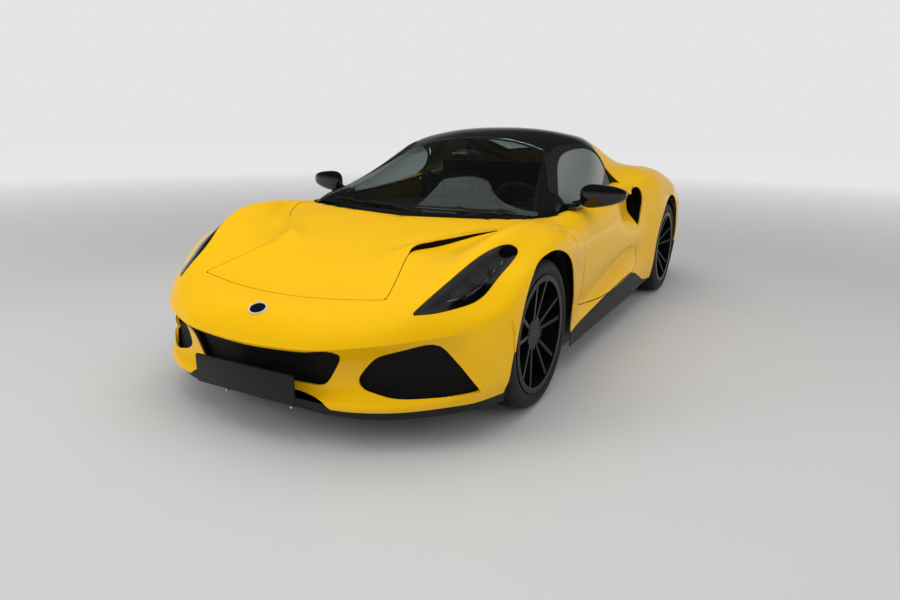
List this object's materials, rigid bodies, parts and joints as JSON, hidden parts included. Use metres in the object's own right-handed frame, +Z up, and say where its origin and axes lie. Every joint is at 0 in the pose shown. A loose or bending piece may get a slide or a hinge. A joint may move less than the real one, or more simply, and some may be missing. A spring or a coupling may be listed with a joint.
{
  "type": "mid-engined sports coupe",
  "caption": "Low two-seat coupe with opening doors, bonnet and tailgate, steered front wheels, black roof and lamps, and side air intakes.",
  "frame": {"origin": "on the ground, under the middle of the overall length and width", "axes": "+Z up, nose towards -Y, the car's left side towards +X"},
  "size_m": [2.092, 4.425, 1.226],
  "materials": {
    "body_paint": "gloss yellow clear-coated paint",
    "black_paint": "gloss black paint",
    "black_trim": "satin black moulded plastic",
    "screen_glass": "clear, faint green tint",
    "side_glass": "clear, light grey tint",
    "lamp_glass": "clear cover over a black lamp",
    "red_lamp": "gloss red lens",
    "plate": "blank gloss black",
    "tyre": "matt rubber",
    "rim": "gloss black",
    "disc": "machined face",
    "upright": "dark, satin",
    "tub": "black-coated extrusions",
    "engine": "cast, satin",
    "exhaust": "brushed",
    "cabin_trim": "soft-touch black",
    "seat_leather": "smooth dark leather"
  },
  "bodies": {
    "body": {"floor_tub": "tub", "front_subframe": "tub", "rear_subframe": "tub", "engine": "engine", "front_clam": "body_paint", "rear_clam": "body_paint", "roof_frame": "black_paint", "windscreen": "screen_glass", "front_splitter": "black_trim", "front_grilles": "black_trim", "headlamps": "lamp_glass", "tail_lamps": "red_lamp", "diffuser": "black_trim", "exhaust_tips": "exhaust", "side_skirts": "black_trim", "side_vents": "black_trim", "dashboard": "cabin_trim", "centre_console": "cabin_trim", "seats": "seat_leather", "steering_wheel": "cabin_trim", "arch_liners": "black_trim", "number_plates": "plate", "wipers": "black_trim", "rear_uprights": "upright", "suspension_arms": "upright", "door_hinges": "tub"},
    "bonnet": {"bonnet": "body_paint"},
    "tailgate": {"tailgate": "body_paint", "rear_window": "screen_glass"},
    "door_left": {"door_left": "body_paint", "door_glass_left": "side_glass", "mirror_left": "black_paint"},
    "knuckle_front_left": {"upright_front_left": "upright"},
    "door_right": {"door_right": "body_paint", "door_glass_right": "side_glass", "mirror_right": "black_paint"},
    "knuckle_front_right": {"upright_front_right": "upright"},
    "wheel_front_left": {"tyre_front_left": "tyre", "rim_front_left": "rim", "disc_front_left": "disc"},
    "wheel_front_right": {"tyre_front_right": "tyre", "rim_front_right": "rim", "disc_front_right": "disc"},
    "wheel_rear_left": {"tyre_rear_left": "tyre", "rim_rear_left": "rim", "disc_rear_left": "disc"},
    "wheel_rear_right": {"tyre_rear_right": "tyre", "rim_rear_right": "rim", "disc_rear_right": "disc"}
  },
  "joints": [
    {"name": "steer_left", "type": "hinge", "parent": "body", "child": "knuckle_front_left", "pos_m": [0.755, -1.3305, 0.34], "axis": [0, 0, 1], "range_deg": [-27, 27]},
    {"name": "steer_right", "type": "hinge", "parent": "body", "child": "knuckle_front_right", "pos_m": [-0.755, -1.3305, 0.34], "axis": [0, 0, 1], "range_deg": [-27, 27]},
    {"name": "spin_front_left", "type": "hinge", "parent": "knuckle_front_left", "child": "wheel_front_left", "pos_m": [0.803, -1.3305, 0.34], "axis": [1, 0, 0], "continuous": true},
    {"name": "spin_rear_left", "type": "hinge", "parent": "body", "child": "wheel_rear_left", "pos_m": [0.78, 1.2445, 0.342], "axis": [1, 0, 0], "continuous": true},
    {"name": "spin_front_right", "type": "hinge", "parent": "knuckle_front_right", "child": "wheel_front_right", "pos_m": [-0.803, -1.3305, 0.34], "axis": [1, 0, 0], "continuous": true},
    {"name": "spin_rear_right", "type": "hinge", "parent": "body", "child": "wheel_rear_right", "pos_m": [-0.78, 1.2445, 0.342], "axis": [1, 0, 0], "continuous": true},
    {"name": "door_left_swing", "type": "hinge", "parent": "body", "child": "door_left", "pos_m": [0.86, -0.6305, 0.6], "axis": [0, 0, -1], "range_deg": [0, 65]},
    {"name": "door_right_swing", "type": "hinge", "parent": "body", "child": "door_right", "pos_m": [-0.86, -0.6305, 0.6], "axis": [0, 0, 1], "range_deg": [0, 65]},
    {"name": "bonnet_lift", "type": "hinge", "parent": "body", "child": "bonnet", "pos_m": [0, -0.8955, 0.758], "axis": [-1, 0, 0], "range_deg": [0, 50]},
    {"name": "tailgate_lift", "type": "hinge", "parent": "body", "child": "tailgate", "pos_m": [0, 0.4335, 1.146], "axis": [1, 0, 0], "range_deg": [0, 55]}
  ],
  "couplings": [
    {"joint": "steer_right", "follows": "steer_left", "ratio": 1}
  ]
}
